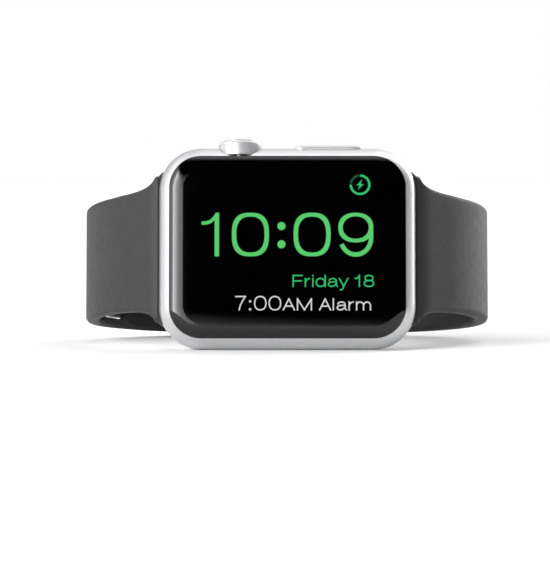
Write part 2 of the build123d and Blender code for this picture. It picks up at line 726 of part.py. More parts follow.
with BuildPart() as strap_short:
    with BuildSketch(Plane.XY):
        with BuildLine():
            short_inner, short_outer = strap_faces(0, SHORT_LENGTH, short_offset, short_thickness)
            Spline(*short_inner)
            Line(short_inner[-1], short_outer[-1])
            Spline(*short_outer)
            Line(short_inner[0], short_outer[0])
        make_face()
    extrude(amount=16, both=True)
    add(width_envelope(-1, STRAP_WIDTH), mode=Mode.INTERSECT)
    fillet(end_corners(strap_short, SHORT_LENGTH), radius=STRAP_END_CORNER)
    fillet(rim_edges(strap_short), radius=STRAP_EDGE)
    # Tuck slot, stud hole and washer seat.
    with BuildSketch(wrist_plane((CROSS_START + CROSS_END) / 2, -4)):
        RectangleRounded(CROSS_END - CROSS_START + 1.2, TAIL_SLOT_WIDTH, 1.2)
    extrude(amount=7, mode=Mode.SUBTRACT)
    with BuildSketch(wrist_plane(STUD_AT, -4)):
        Circle(STUD_STEM_RADIUS + 0.05)
    extrude(amount=6, mode=Mode.SUBTRACT)
    with BuildSketch(wrist_plane(STUD_AT, -OVERLAP_SHIFT - STRAP_OVERLAP_THICK / 2 - 1)):
        Circle(WASHER_RADIUS + 0.05)
    extrude(amount=1 + WASHER_THICK + 0.02, mode=Mode.SUBTRACT)

with BuildPart() as strap_long:
    with BuildSketch(Plane.XY):
        with BuildLine():
            long_inner, long_outer = strap_faces(
                TAIL_END_AT, 2 * HALF_LENGTH, long_offset, long_thickness
            )
            Spline(*long_inner)
            Line(long_inner[-1], long_outer[-1])
            Spline(*long_outer)
            Line(long_inner[0], long_outer[0])
        make_face()
    extrude(amount=16, both=True)
    add(width_envelope(1, TAIL_WIDTH), mode=Mode.INTERSECT)
    fillet(end_corners(strap_long, TAIL_END_AT), radius=STRAP_END_CORNER)
    fillet(rim_edges(strap_long), radius=STRAP_EDGE)
    for hole in range(HOLE_COUNT):
        with BuildSketch(wrist_plane(STUD_AT + (2 - hole) * HOLE_PITCH, -4)):
            SlotOverall(HOLE_LENGTH, HOLE_WIDTH)
        extrude(amount=8, mode=Mode.SUBTRACT)

stud_inner = -OVERLAP_SHIFT - STRAP_OVERLAP_THICK / 2
stud_outer = OVERLAP_SHIFT + STRAP_OVERLAP_THICK / 2 + 0.04

head_plane = wrist_plane(STUD_AT, stud_outer)

with BuildPart() as closure_stud:
    with BuildSketch(wrist_plane(STUD_AT, stud_inner + WASHER_THICK + 0.01)):
        Circle(STUD_STEM_RADIUS)
    extrude(amount=stud_outer - stud_inner - WASHER_THICK)
    with BuildSketch(head_plane):
        Circle(STUD_HEAD_RADIUS)
    extrude(amount=0.7)
    head_top = closure_stud.faces().sort_by(Axis(head_plane.origin, head_plane.z_dir))[-1]
    chamfer(head_top.edges(), length=0.25)

with BuildPart() as stud_washer:
    with BuildSketch(wrist_plane(STUD_AT, stud_inner)):
        Circle(WASHER_RADIUS)
    extrude(amount=WASHER_THICK)

# ---------------------------------------------------------------- stand the watch up and write it
PIECES = {
    "case_housing": case_housing,
    "cover_glass": cover_glass,
    "display_gasket": display_gasket,
    "display_panel": display_panel,
    "display_flex": display_flex,
    "system_package": system_package,
    "logic_board": logic_board,
    "board_screws": board_screws,
    "battery": battery,
    "battery_flex": battery_flex,
    "haptic_housing": haptic_housing,
    "haptic_mass": haptic_mass,
    "haptic_screws": haptic_screws,
    "speaker": speaker,
    "speaker_mesh": speaker_mesh,
    "microphone": microphone,
    "crown_bushing": crown_bushing,
    "crown_seal": crown_seal,
    "crown_shaft": crown_shaft,
    "crown_knob": crown_knob,
    "crown_cap": crown_cap,
    "crown_thrust_plate": crown_thrust_plate,
    "crown_sensor": crown_sensor,
    "crown_switch": crown_switch,
    "side_button": side_button,
    "button_bracket": button_bracket,
    "bracket_screws": bracket_screws,
    "button_switch": button_switch,
    "back_cover": back_cover,
    "back_gasket": back_gasket,
    "sensor_crystal": sensor_crystal,
    "sensor_board": sensor_board,
    "sensor_lenses": sensor_lenses,
    "charging_coil": charging_coil,
    "alignment_magnet": alignment_magnet,
    "release_button_12": release_button_12,
    "release_button_6": release_button_6,
    "release_latch_12": release_latch_12,
    "release_latch_6": release_latch_6,
    "lug_insert_12": lug_insert_12,
    "lug_insert_6": lug_insert_6,
    "strap_short": strap_short,
    "strap_long": strap_long,
    "closure_stud": closure_stud,
    "stud_washer": stud_washer,
}

low_y = min(piece.part.moved(LEANED).bounding_box().min.Y for piece in PIECES.values())
high_y = max(piece.part.moved(LEANED).bounding_box().max.Y for piece in PIECES.values())
STANCE = Pos(0, -(low_y + high_y) / 2, 0) * LEANED

for name, piece in PIECES.items():
    piece.part.label = name
    piece.part.move(STANCE)
    export_step(piece.part, f"parts/{name}.step")
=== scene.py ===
import json
import math

import bmesh
import bpy
from mathutils import Matrix, Vector


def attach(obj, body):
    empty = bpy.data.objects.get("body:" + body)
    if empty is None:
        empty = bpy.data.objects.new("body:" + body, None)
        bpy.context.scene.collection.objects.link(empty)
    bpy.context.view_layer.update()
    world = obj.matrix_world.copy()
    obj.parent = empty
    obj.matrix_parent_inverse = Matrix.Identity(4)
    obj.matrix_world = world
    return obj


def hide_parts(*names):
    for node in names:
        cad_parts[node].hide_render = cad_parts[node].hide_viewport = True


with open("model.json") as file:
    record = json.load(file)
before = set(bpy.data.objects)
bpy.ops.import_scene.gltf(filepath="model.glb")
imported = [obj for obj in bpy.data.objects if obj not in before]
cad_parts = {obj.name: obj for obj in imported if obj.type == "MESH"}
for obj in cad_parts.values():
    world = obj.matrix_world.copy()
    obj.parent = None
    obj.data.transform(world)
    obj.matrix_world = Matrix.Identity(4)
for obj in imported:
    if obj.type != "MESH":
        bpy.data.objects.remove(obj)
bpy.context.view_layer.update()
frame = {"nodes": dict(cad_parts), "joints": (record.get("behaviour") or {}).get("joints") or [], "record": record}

MM = 0.001
MOUNTS = {mount["name"]: mount for mount in frame["record"]["mounts"]}
JOINTS = {joint["name"]: joint for joint in frame["joints"]}

# ---------------------------------------------------------------- the upright watch, inside the frame
# The watch is easier to build standing upright: X along the case, Z towards the crown side, the screen
# facing -Y. UPRIGHT places such a point, in millimetres, in the frame, which leans the watch back.
GLASS_FRONT = -4.4
up_axis = Vector(JOINTS["band_slide"]["axis"])
front_axis = Vector(MOUNTS["screen"]["axis"])
screen_middle = Vector(MOUNTS["screen"]["pos_m"])
origin = screen_middle + front_axis * GLASS_FRONT * MM
UPRIGHT = Matrix.Translation(origin) @ Matrix(
    ((1, 0, 0, 0), (0, -front_axis.y, up_axis.y, 0), (0, -front_axis.z, up_axis.z, 0), (0, 0, 0, 1))
) @ Matrix.Scale(MM, 4)


# ---------------------------------------------------------------- mesh helpers
def add_object(name, bm, body, material, smooth_angle):
    """Turns a bmesh in upright millimetres into a finished piece that rides on a body."""
    bmesh.ops.recalc_face_normals(bm, faces=bm.faces)
    mesh = bpy.data.meshes.new(name)
    bm.to_mesh(mesh)
    bm.free()
    mesh.transform(UPRIGHT)
    mesh.polygons.foreach_set("use_smooth", [True] * len(mesh.polygons))
    mesh.set_sharp_from_angle(angle=math.radians(smooth_angle))
    mesh.materials.append(material)
    piece = bpy.data.objects.new(name, mesh)
    bpy.context.scene.collection.objects.link(piece)
    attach(piece, body)
    return piece


# ---------------------------------------------------------------- materials
def new_material(name):
    """A material, with its node tree and its shader."""
    material = bpy.data.materials.new(name)
    material.use_nodes = True
    return material, material.node_tree, material.node_tree.nodes["Principled BSDF"]


def noise(tree, scale, detail=4.0):
    """A noise texture in object space, its scale in cells per metre."""
    where = tree.nodes.new("ShaderNodeTexCoord")
    texture = tree.nodes.new("ShaderNodeTexNoise")
    texture.inputs["Scale"].default_value = scale
    texture.inputs["Detail"].default_value = detail
    tree.links.new(where.outputs["Object"], texture.inputs["Vector"])
    return texture.outputs["Fac"]


def ramp(tree, value, low, high, from_low=0.3, from_high=0.7):
    """Maps a value onto a range. A noise lies mostly between 0.3 and 0.7."""
    node = tree.nodes.new("ShaderNodeMapRange")
    node.inputs["From Min"].default_value = from_low
    node.inputs["From Max"].default_value = from_high
    node.inputs["To Min"].default_value = low
    node.inputs["To Max"].default_value = high
    tree.links.new(value, node.inputs["Value"])
    return node.outputs["Result"]


def tint(tree, value, dark, light):
    """A colour between two, by a 0 to 1 value."""
    node = tree.nodes.new("ShaderNodeMix")
    node.data_type = "RGBA"
    node.inputs["A"].default_value = (*dark, 1)
    node.inputs["B"].default_value = (*light, 1)
    tree.links.new(value, node.inputs["Factor"])
    return node.outputs["Result"]


GRAIN_DEPTH = 0.01 * MM


def grain_bump(tree, shader, scale, strength):
    """A fine grain, from a noise of the given scale."""
    node = tree.nodes.new("ShaderNodeBump")
    node.inputs["Strength"].default_value = strength
    node.inputs["Distance"].default_value = GRAIN_DEPTH
    tree.links.new(noise(tree, scale, detail=2.0), node.inputs["Height"])
    tree.links.new(node.outputs["Normal"], shader.inputs["Normal"])


METAL_CLOUD = 160.0  # scales of noise, in cells per metre
METAL_GLOSS = 420.0
METAL_GRAIN = 9000.0


def metal(name, dark, light, rough_low, rough_high, grain=0.0, diffuse=0.0):
    """Polished or satin metal: a little colour and gloss variation, and a fine grain. An anodised
    surface also scatters some light, which is its diffuse share."""
    material, tree, shader = new_material(name)
    shader.inputs["Metallic"].default_value = 1.0 - diffuse
    tree.links.new(tint(tree, noise(tree, METAL_CLOUD), dark, light), shader.inputs["Base Color"])
    tree.links.new(ramp(tree, noise(tree, METAL_GLOSS), rough_low, rough_high), shader.inputs["Roughness"])
    if grain:
        grain_bump(tree, shader, METAL_GRAIN, grain)
    return material


def plastic(name, dark, light, rough_low, rough_high, scale=600.0, grain=0.1, specular=0.5):
    """Plastic, rubber, resin or ceramic, varied by noises that all follow one scale."""
    material, tree, shader = new_material(name)
    shader.inputs["Specular IOR Level"].default_value = specular
    tree.links.new(tint(tree, noise(tree, scale), dark, light), shader.inputs["Base Color"])
    tree.links.new(ramp(tree, noise(tree, scale * 2), rough_low, rough_high), shader.inputs["Roughness"])
    grain_bump(tree, shader, scale * 8, grain)
    return material


EDGE_ROUGHNESS = 0.34
EDGE_BOTTOM = 1.6 * MM  # heights above the ground between which the glass turns from soft to sharp
EDGE_TOP = 6.4 * MM
GLASS_DARK = (0.0002, 0.0002, 0.0002)
GLASS_LIGHT = (0.0004, 0.0005, 0.0005)


def glass_material():
    """Black polished glass; its lower rolled edge is softer, so that reflections fade in there."""
    material, tree, shader = new_material("cover_glass_black")
    links = tree.links
    links.new(tint(tree, noise(tree, 120.0), GLASS_DARK, GLASS_LIGHT), shader.inputs["Base Color"])
    where = tree.nodes.new("ShaderNodeTexCoord")
    parts = tree.nodes.new("ShaderNodeSeparateXYZ")
    links.new(where.outputs["Object"], parts.inputs[0])
    softness = ramp(tree, parts.outputs["Z"], EDGE_ROUGHNESS, 0.0, EDGE_BOTTOM, EDGE_TOP)
    total = tree.nodes.new("ShaderNodeMath")
    total.operation = "ADD"
    links.new(softness, total.inputs[0])
    links.new(ramp(tree, noise(tree, 240.0), 0.012, 0.03), total.inputs[1])
    links.new(total.outputs[0], shader.inputs["Roughness"])
    return material


def glow(name, colour):
    """Lit display content, as polished as the glass and very slightly uneven."""
    material, tree, shader = new_material(name)
    shader.inputs["Base Color"].default_value = (0.002, 0.002, 0.002, 1)
    shader.inputs["Roughness"].default_value = 0.03
    shader.inputs["Emission Strength"].default_value = 1.0
    level = ramp(tree, noise(tree, 90.0), 0.97, 1.0)
    tree.links.new(tint(tree, level, (0, 0, 0), colour), shader.inputs["Emission Color"])
    return material


# Each is its name, its darkest and lightest colour, and its least and greatest roughness.
RUBBER_COLOURS = (0.018, 0.018, 0.019), (0.025, 0.025, 0.026)
MATERIALS = {
    "case_metal": metal(
        "case_metal", (0.54, 0.543, 0.56), (0.6, 0.603, 0.615), 0.3, 0.36, grain=0.12, diffuse=0.15
    ),
    "button_metal": metal(
        "button_metal", (0.52, 0.522, 0.535), (0.58, 0.582, 0.59), 0.28, 0.34, diffuse=0.62
    ),
    "crown_cap": metal("crown_cap_metal", (0.52, 0.522, 0.53), (0.58, 0.58, 0.59), 0.26, 0.32, diffuse=0.5),
    "steel_parts": metal("machined_steel", (0.5, 0.5, 0.51), (0.6, 0.6, 0.61), 0.28, 0.4, grain=0.2),
    "fastener": metal("screw_steel", (0.55, 0.55, 0.56), (0.64, 0.64, 0.65), 0.2, 0.3, grain=0.1),
    "release_steel": metal("release_metal", (0.7, 0.7, 0.71), (0.77, 0.77, 0.78), 0.2, 0.28, grain=0.05),
    "stud_steel": metal("stud_metal", (0.72, 0.72, 0.73), (0.8, 0.8, 0.81), 0.08, 0.13),
    "mesh": metal("mesh_metal", (0.12, 0.12, 0.12), (0.2, 0.2, 0.2), 0.4, 0.5, grain=0.4),
    "magnet": metal("magnet_metal", (0.4, 0.4, 0.41), (0.5, 0.5, 0.51), 0.25, 0.35),
    "coil": metal("coil_copper", (0.6, 0.27, 0.12), (0.72, 0.36, 0.17), 0.3, 0.4, grain=0.3),
    "gasket": plastic("gasket_rubber", (0.02, 0.02, 0.02), (0.035, 0.035, 0.035), 0.6, 0.75),
    "flex": plastic("flex_film", (0.3, 0.14, 0.03), (0.38, 0.19, 0.05), 0.35, 0.45),
    "board": plastic("board_mask", (0.012, 0.05, 0.03), (0.02, 0.07, 0.045), 0.35, 0.45),
    "package": plastic("package_resin", (0.015, 0.015, 0.016), (0.025, 0.025, 0.027), 0.45, 0.6),
    "battery": plastic("battery_pouch", (0.02, 0.02, 0.021), (0.035, 0.035, 0.036), 0.3, 0.4),
    "switches": plastic("switch_plastic", (0.03, 0.03, 0.03), (0.045, 0.045, 0.045), 0.4, 0.55),
    "display": plastic("display_black", (0.001, 0.001, 0.001), (0.002, 0.002, 0.002), 0.1, 0.15),
    "cover_glass": glass_material(),
    "back_ceramic": plastic(
        "back_ceramic_black", (0.008, 0.008, 0.009), (0.014, 0.014, 0.015), 0.08, 0.13, scale=200.0, grain=0.0
    ),
    "sensor_crystal": plastic(
        "sensor_crystal_dark", (0.004, 0.004, 0.005), (0.008, 0.008, 0.009), 0.02, 0.04, scale=200.0,
        grain=0.0,
    ),
    "lens": plastic(
        "lens_clear", (0.02, 0.03, 0.025), (0.03, 0.045, 0.035), 0.02, 0.04, scale=200.0, grain=0.0
    ),
    "band_rubber": plastic("band_rubber", *RUBBER_COLOURS, 0.5, 0.6, scale=500.0, grain=0.12, specular=0.35),
    "lug": plastic("lug_rubber", *RUBBER_COLOURS, 0.45, 0.55, scale=500.0, grain=0.1, specular=0.35),
}
for subpart in frame["record"]["subparts"]:
    node = frame["nodes"][subpart["node"]]
    node.data.materials.clear()
    node.data.materials.append(MATERIALS[subpart["material_slot"]])

GREEN = glow("screen_time_green", (0.1, 0.6, 0.15))
DATE_GREEN = glow("screen_date_green", (0.03, 0.52, 0.16))
PALE = glow("screen_pale_grey", (0.66, 0.66, 0.67))
DIM_GREEN = glow("screen_dim_green", (0.012, 0.075, 0.035))

# ---------------------------------------------------------------- what the screen shows
# Screen coordinates are millimetres on the glass: x to the right and y up, from its middle.
CONTENT_PROUD = 0.012  # of the glass, and as deep again into it


def screen_piece(name, outlines, material):
    """Closed outlines on the glass, each made into a thin raised solid. Each is a pair of outlines, outer
    and inner, with the same number of points, or an outer one and None where it has no hole."""
    bm = bmesh.new()
    for outer, inner in outlines:
        layers = []
        for depth in (GLASS_FRONT - CONTENT_PROUD, GLASS_FRONT + CONTENT_PROUD):
            rings = [[bm.verts.new((x, depth, y)) for x, y in ring] for ring in (outer, inner) if ring]
            layers.append(rings)
        front, back = layers
        if inner:
            join_rings(bm, front[0], front[1])
            join_rings(bm, back[0], back[1])
            join_rings(bm, front[1], back[1])
        else:
            bm.faces.new(front[0])
            bm.faces.new(back[0])
        join_rings(bm, front[0], back[0])
    return add_object(name, bm, "case", material, smooth_angle=30)


def join_rings(bm, ring_a, ring_b):
    """Quads between two closed rings of the same number of vertices."""
    count = len(ring_a)
    for i in range(count):
        j = (i + 1) % count
        bm.faces.new((ring_a[i], ring_a[j], ring_b[j], ring_b[i]))


def superellipse(centre, half_width, half_height, power, count):
    """A rounded closed shape between an ellipse and a rectangle."""
    ring = []
    for i in range(count):
        angle = 2 * math.pi * i / count
        c, s = math.cos(angle), math.sin(angle)
        x = math.copysign(abs(c) ** (2 / power), c) * half_width
        y = math.copysign(abs(s) ** (2 / power), s) * half_height
        ring.append((centre[0] + x, centre[1] + y))
    return ring


def stroke(points, width):
    """The outline of a line of points drawn with a flat-ended pen."""
    left, right = [], []
    for i, point in enumerate(points):
        before = Vector(points[max(i - 1, 0)])
        after = Vector(points[min(i + 1, len(points) - 1)])
        along = (after - before).normalized()
        side = Vector((-along.y, along.x)) * width / 2
        left.append(tuple(Vector(point) + side))
        right.append(tuple(Vector(point) - side))
    return left + right[::-1]


def arc(centre, radius_x, radius_y, start, end, count):
    """Points on an ellipse between two angles, in degrees."""
    return [
        (
            centre[0] + radius_x * math.cos(math.radians(start + (end - start) * i / count)),
            centre[1] + radius_y * math.sin(math.radians(start + (end - start) * i / count)),
        )
        for i in range(count + 1)
    ]


# ---- the time
TIME_BOTTOM = -1.65
TIME_HEIGHT = 7.22
TIME_TOP = TIME_BOTTOM + TIME_HEIGHT
PEN = 0.74
COLON_X = -1.0
COLON_HEIGHTS = (0.34, 3.36)
COLON_DOT = 0.67


def digit_zero(centre_x, half_width):
    """A tall squarish ring, a little thinner at its top and bottom."""
    middle = (centre_x, TIME_BOTTOM + TIME_HEIGHT / 2)
    outer = superellipse(middle, half_width, TIME_HEIGHT / 2, 2.7, 96)
    inner = superellipse(middle, half_width - PEN, TIME_HEIGHT / 2 - PEN * 0.86, 2.5, 96)
    return outer, inner


def digit_one(left, stem_right):
    """A stem with a thin flag that sweeps up to its top."""
    stem_left = stem_right - PEN
    stem = [(stem_left, TIME_BOTTOM), (stem_right, TIME_BOTTOM), (stem_right, TIME_TOP)]
    stem += [(stem_right - PEN * 0.8, TIME_TOP), (stem_left, TIME_TOP - 0.6)]
    middle = stem_right - PEN / 2
    flag = [(left, TIME_TOP - 1.72), (left + 0.7, TIME_TOP - 1.7), (left + 1.45, TIME_TOP - 1.48)]
    flag += [(middle - 0.5, TIME_TOP - 0.95), (middle, TIME_TOP - 0.32)]
    return [(stem, None), (stroke(flag, PEN * 0.74), None)]


def digit_nine(centre_x, half_width):
    """A round bowl whose right side carries on down into a hook."""
    bowl_height = TIME_HEIGHT * 0.34
    bowl = (centre_x, TIME_TOP - bowl_height)
    ring = (
        superellipse(bowl, half_width, bowl_height, 2.3, 96),
        superellipse(bowl, half_width - PEN, bowl_height - PEN * 0.8, 2.1, 96),
    )
    radius_x = half_width - PEN / 2
    hook_height = TIME_HEIGHT * 0.42
    hook = [(centre_x + radius_x, bowl[1])]
    hook += arc((centre_x, TIME_BOTTOM + hook_height), radius_x, hook_height - PEN * 0.4, 0, -158, 40)
    return ring, (stroke(hook, PEN), None)


def dot(x, y, radius, count):
    """A round dot, as a pair of outlines."""
    return superellipse((x, y), radius, radius, 2.0, count), None


def time_outlines():
    """The digits from left to right, and then the colon."""
    left_zero = digit_zero(-6.11, 3.06)
    right_zero = digit_zero(4.05, 3.05)
    ring, hook = digit_nine(11.25, 2.88)
    dots = [dot(COLON_X, y, COLON_DOT, 40) for y in COLON_HEIGHTS]
    return [*digit_one(-14.17, -11.27), left_zero, right_zero, ring, hook, *dots]


screen_piece("screen_time", time_outlines(), GREEN)

# ---- the charging ring, its unfilled rest and its bolt
RING_CENTRE = (11.97, 10.22)
RING_RADIUS = 1.53
RING_PEN = 0.38


def ring_part(start, end, count):
    """The part of the charging ring between two angles, in degrees."""
    return stroke(arc(RING_CENTRE, RING_RADIUS, RING_RADIUS, start, end, count), RING_PEN), None


def bolt_outline():
    """A lightning bolt, symmetric by half a turn about its middle."""
    half = [(0.35, 0.86), (-0.62, -0.12), (-0.1, -0.12)]
    points = half + [(-x, -y) for x, y in half]
    return [(RING_CENTRE[0] + x, RING_CENTRE[1] + y) for x, y in points]


screen_piece("screen_charge_ring", [ring_part(90, -180, 72)], DATE_GREEN)
screen_piece("screen_charge_ring_rest", [ring_part(97, 173, 24)], DIM_GREEN)
screen_piece("screen_charge_bolt", [(bolt_outline(), None)], DATE_GREEN)

# ---- the date and alarm lines
# Thin letters, each drawn with a pen inside its own box: lines of points, in shares of the box from its
# bottom left, and rings given as their middle and half sizes.
LETTER_LINES = {
    "F": ([(0, 0), (0, 1)], [(0, 1), (1, 1)], [(0, 0.5), (0.9, 0.5)]),
    "r": ([(0, 0), (0, 1)], arc((1.0, 0.42), 1.0, 0.58, 180, 96, 12)),
    "i": ([(0, 0), (0, 0.72)], [(0, 0.97), (0, 1)]),
    "d": ([(1, 0), (1, 1)],),
    "a": (
        arc((0.46, 0.68), 0.4, 0.32, 165, 0, 14) + [(0.86, 0.16), (1, 0)],
        [(0.86, 0.6)] + arc((0.36, 0.28), 0.36, 0.28, 95, 300, 18) + [(0.86, 0.32)],
    ),
    "y": ([(0, 1), (0.5, 0.3)], [(1, 1), (0.5, 0.3), (0.42, 0.12), (0.3, 0.02), (0.12, 0)]),
    "1": ([(1, 0), (1, 1)], [(0, 0.72), (0.5, 0.77), (0.8, 0.86), (1, 1)]),
    "7": ([(0, 1), (1, 1)], [(1, 1), (0.66, 0.62), (0.45, 0.3), (0.36, 0)]),
    "A": ([(0, 0), (0.5, 1)], [(0.5, 1), (1, 0)], [(0.2, 0.34), (0.8, 0.34)]),
    "M": ([(0, 0), (0, 1)], [(0, 1), (0.5, 0)], [(0.5, 0), (1, 1)], [(1, 1), (1, 0)]),
    "l": ([(0, 0), (0, 1)],),
    "m": (
        [(0, 0), (0, 1)],
        arc((0.25, 0.5), 0.25, 0.5, 180, 0, 14) + [(0.5, 0)],
        arc((0.75, 0.5), 0.25, 0.5, 180, 0, 14) + [(1, 0)],
    ),
}
LETTER_RINGS = {
    "d": ((0.47, 0.36, 0.47, 0.36),),
    "8": ((0.5, 0.76, 0.42, 0.24), (0.5, 0.27, 0.5, 0.27)),
    "0": ((0.5, 0.5, 0.5, 0.5),),
}
LETTER_PEN = 0.22
LETTER_DOT = 0.2


def letter(kind, left, width, bottom, height):
    """The outlines of one letter in a box, in millimetres."""
    inner_width = width - LETTER_PEN
    inner_height = height - LETTER_PEN
    start = Vector((left + LETTER_PEN / 2, bottom + LETTER_PEN / 2))
    outlines = []
    for points in LETTER_LINES.get(kind, ()):
        line = [start + Vector((x * inner_width, y * inner_height)) for x, y in points]
        line[0] = line[0] + (line[0] - line[1]).normalized() * LETTER_PEN / 2
        line[-1] = line[-1] + (line[-1] - line[-2]).normalized() * LETTER_PEN / 2
        outlines.append((stroke(line, LETTER_PEN), None))
    for x, y, half_width, half_height in LETTER_RINGS.get(kind, ()):
        middle = start + Vector((x * inner_width, y * inner_height))
        half_width, half_height = half_width * inner_width, half_height * inner_height
        outer, inner = (
            superellipse(middle, half_width + grow, half_height + grow, 2.25, 48)
            for grow in (LETTER_PEN / 2, -LETTER_PEN / 2)
        )
        outlines.append((outer, inner))
    if kind == ":":
        dot_heights = (bottom + LETTER_DOT, bottom + height)
        outlines += [dot(left + width / 2, y, LETTER_DOT, 24) for y in dot_heights]
    return outlines


def words(name, letters, base, material):
    """A line of letters, each given with its left side, width, height and depth below the line."""
    outlines = []
    for kind, left, width, height, below in letters:
        outlines += letter(kind, left, width, base - below, height + below)
    return screen_piece(name, outlines, material)


CAPITAL = 2.03
SMALL = 1.52
DIGIT = 2.42
DESCENT = 0.55
DATE_BASE = -6.74
ALARM_BASE = -10.61
DATE_LETTERS = (
    ("F", 0.82, 1.68, CAPITAL, 0), ("r", 2.83, 0.96, SMALL, 0), ("i", 4.06, LETTER_PEN, CAPITAL, 0),
    ("d", 4.63, 1.68, CAPITAL, 0), ("a", 6.63, 1.72, SMALL, 0), ("y", 8.42, 1.62, SMALL, DESCENT),
    ("1", 11.03, 0.9, CAPITAL, 0), ("8", 12.53, 1.74, CAPITAL, 0),
)  # fmt: skip
ALARM_LETTERS = (
    ("7", -8.62, 1.8, DIGIT, 0), (":", -6.36, 0.4, 1.5, 0), ("0", -5.52, 2.08, DIGIT, 0),
    ("0", -3.13, 2.1, DIGIT, 0), ("A", -0.8, 2.04, CAPITAL, 0), ("M", 1.53, 2.5, CAPITAL, 0),
    ("A", 5.18, 2.0, CAPITAL, 0), ("l", 7.42, LETTER_PEN, CAPITAL, 0), ("a", 8.06, 1.72, SMALL, 0),
    ("r", 10.02, 0.94, SMALL, 0), ("m", 11.25, 2.5, SMALL, 0),
)  # fmt: skip
words("screen_date", DATE_LETTERS, DATE_BASE, DATE_GREEN)
words("screen_alarm", ALARM_LETTERS, ALARM_BASE, PALE)


# ---------------------------------------------------------------- band
# In plan the closed band is a loop, the same on both sides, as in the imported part: out of the case's
# slot, round the corner of the wrist, along the flank, and round the rear. Millimetres and degrees.
SLOT_Y = 0.4
ROUTE_START_X = 21.0
LUG_END_X = 21.5
SIDE_X = 33.6
REAR_Y = 52.0
LEAVE_ANGLE = 26.0
SLOPE_ANGLE = 52.5
REAR_ANGLE = 150.0
SHOULDER_RADIUS = 5.0
SLOPE_LENGTH = 5.5
CORNER_RADIUS = 19.0

HALF_WIDTH = 9.8
TAIL_HALF_WIDTH = 7.7
THICK = 2.4
OVERLAP_THICK = 1.9
EDGE = 0.88  # radius of a strap's long edges
END_CORNER = 6.0  # radius of the corners of its free end

# Places along the loop are distances from the 12 o'clock lug. The long strap lies outside the short one
# round the rear, dips through its slot between CROSS_START and CROSS_END, and ends inside.
SHORT_LENGTH = 62.0
STUD_AT = 56.5
CROSS_START, CROSS_END = 36.0, 45.0
TAIL_END_AT = 20.5
SHORT_THIN_FROM = 26.0
OVERLAP_GAP = 0.1
TAIL_GAP = 0.06
OVERLAP_SHIFT = (OVERLAP_THICK + OVERLAP_GAP) / 2
TAIL_SHIFT = -(THICK / 2 + OVERLAP_THICK / 2 + TAIL_GAP)
TAIL_NARROWS = 18.0, 26.0  # how far left of the middle the long strap narrows to its tail

# A strap's half width grows towards the case by two decaying terms, each an amount and a reach, and both
# fade out along the strap between the two distances.
FLARE_TERMS = (1.55, 2.15), (0.85, 0.45)
FLARE_FADE = 10, 14

WASHER_RADIUS = 3.25
WASHER_SEAT = 0.5
SEAT_OPEN = 1.0  # how far the washer's plug stands out of the strap's inner face
HOLE_PITCH = 6.6
HOLE_COUNT = 7
HOLES_PAST_STUD = 2


def half_loop():
    """The loop's runs on one side, each (length, start point, start angle, radius or 0)."""
    runs = []
    x, y = ROUTE_START_X, SLOT_Y

    def add_arc(radius, angle_from, angle_to):
        nonlocal x, y
        low, high = math.radians(angle_from), math.radians(angle_to)
        runs.append((radius * (high - low), (x, y), low, radius))
        x += radius * (math.sin(high) - math.sin(low))
        y += radius * (math.cos(low) - math.cos(high))

    def add_straight(length, angle):
        nonlocal x, y
        runs.append((length, (x, y), math.radians(angle), 0))
        x += length * math.cos(math.radians(angle))
        y += length * math.sin(math.radians(angle))

    add_arc(SHOULDER_RADIUS, LEAVE_ANGLE, SLOPE_ANGLE)
    add_straight(SLOPE_LENGTH, SLOPE_ANGLE)
    add_arc((SIDE_X - x) / (1 - math.sin(math.radians(SLOPE_ANGLE))), SLOPE_ANGLE, 90)
    rear_radius = 2 * SIDE_X - CORNER_RADIUS
    corner_rise = CORNER_RADIUS * math.sin(math.radians(REAR_ANGLE - 90))
    rear_rise = rear_radius * (1 - math.sin(math.radians(REAR_ANGLE - 90)))
    add_straight(REAR_Y - corner_rise - rear_rise - y, 90)
    add_arc(CORNER_RADIUS, 90, REAR_ANGLE)
    add_arc(rear_radius, REAR_ANGLE, 180)
    return runs


RUNS = half_loop()
HALF_LENGTH = sum(run[0] for run in RUNS)


def loop_frame(distance):
    """The point and outward direction of the loop at a distance from the 12 o'clock lug."""
    side = -1 if distance < HALF_LENGTH else 1
    along = distance if distance < HALF_LENGTH else 2 * HALF_LENGTH - distance
    for run in RUNS:
        length, (x, y), angle, radius = run
        if along <= length or run is RUNS[-1]:
            break
        along -= length
    if radius:
        end = angle + along / radius
        x += radius * (math.sin(end) - math.sin(angle))
        y += radius * (math.cos(angle) - math.cos(end))
    else:
        end = angle
        x += along * math.cos(angle)
        y += along * math.sin(angle)
    return Vector((side * x, y, 0)), Vector((side * math.sin(end), -math.cos(end), 0))


def ease(value, start, end):
    """0 before start, 1 after end, and smooth between them."""
    share = min(1, max(0, (value - start) / (end - start)))
    return share * share * (3 - 2 * share)


def short_offset(distance):
    """How far the short strap's middle lies outside the loop."""
    return -OVERLAP_SHIFT * ease(distance, CROSS_START - 1, CROSS_END + 3)


def short_thickness(distance):
    return THICK + (OVERLAP_THICK - THICK) * ease(distance, SHORT_THIN_FROM, CROSS_START + 8)


def long_offset(distance):
    """How far the long strap's middle lies outside the loop."""
    outside = OVERLAP_SHIFT * (1 - ease(distance, SHORT_LENGTH + 2, SHORT_LENGTH + 18))
    return outside + (TAIL_SHIFT - outside) * (1 - ease(distance, CROSS_START, CROSS_END))


def long_thickness(distance):
    return OVERLAP_THICK + (THICK - OVERLAP_THICK) * ease(distance, SHORT_LENGTH + 2, SHORT_LENGTH + 24)


